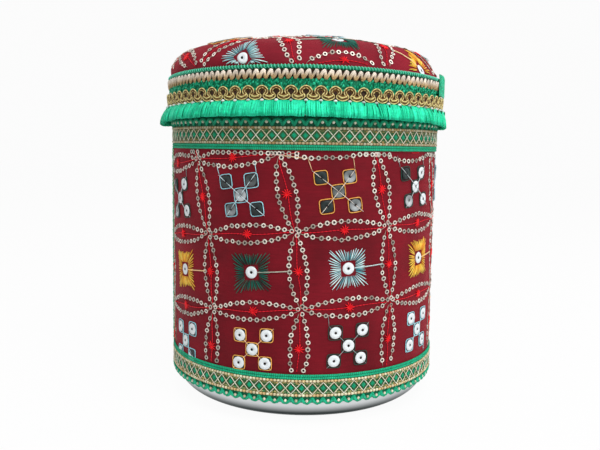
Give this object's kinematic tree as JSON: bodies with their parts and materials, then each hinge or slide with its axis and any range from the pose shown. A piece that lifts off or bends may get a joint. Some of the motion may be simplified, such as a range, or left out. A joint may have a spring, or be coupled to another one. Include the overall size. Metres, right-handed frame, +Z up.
{
  "type": "decorative box",
  "caption": "Round steel canister covered in embroidered cloth, lace and fringe, with a padded domed lid that lifts off, for keeping small things.",
  "frame": {"origin": "middle of the foot ring, on the surface the canister stands on", "axes": "+Z up along the canister, -Y is the front shown in the picture, +X to its right"},
  "size_m": [0.1648, 0.1648, 0.202],
  "materials": {
    "steel": "spun satin",
    "maroon_cloth": "plain-woven satin-backed cloth, embroidered",
    "lace_green": "woven lace, silky",
    "gold_thread": "metallic thread",
    "fringe_green": "silky yarn",
    "white_sequin": "glossy pearl",
    "mirror_foil": "dark mirror foil",
    "padding": "cotton wadding"
  },
  "bodies": {
    "canister": {"canister_shell": "steel", "body_wrap": "maroon_cloth", "lower_lace_ground": "lace_green", "lower_lace_net": "gold_thread", "upper_lace_ground": "lace_green", "upper_lace_net": "gold_thread", "seam_lace_ground": "lace_green", "seam_lace_net": "gold_thread", "body_round_sequins": "white_sequin", "body_square_mirrors": "mirror_foil"},
    "lid": {"lid_shell": "steel", "lid_pad": "padding", "lid_cover": "maroon_cloth", "lid_tape": "lace_green", "lid_tape_end": "lace_green", "lid_edge_cord": "lace_green", "lid_zigzag_braid": "gold_thread", "lid_scroll_braid": "gold_thread", "fringe_heading": "fringe_green", "fringe": "fringe_green", "lid_round_sequins": "white_sequin", "lid_square_mirrors": "mirror_foil"}
  },
  "joints": [
    {"name": "lid_lift", "type": "slide", "parent": "canister", "child": "lid", "axis": [0, 0, 1], "range_m": [0, 0.12]}
  ]
}
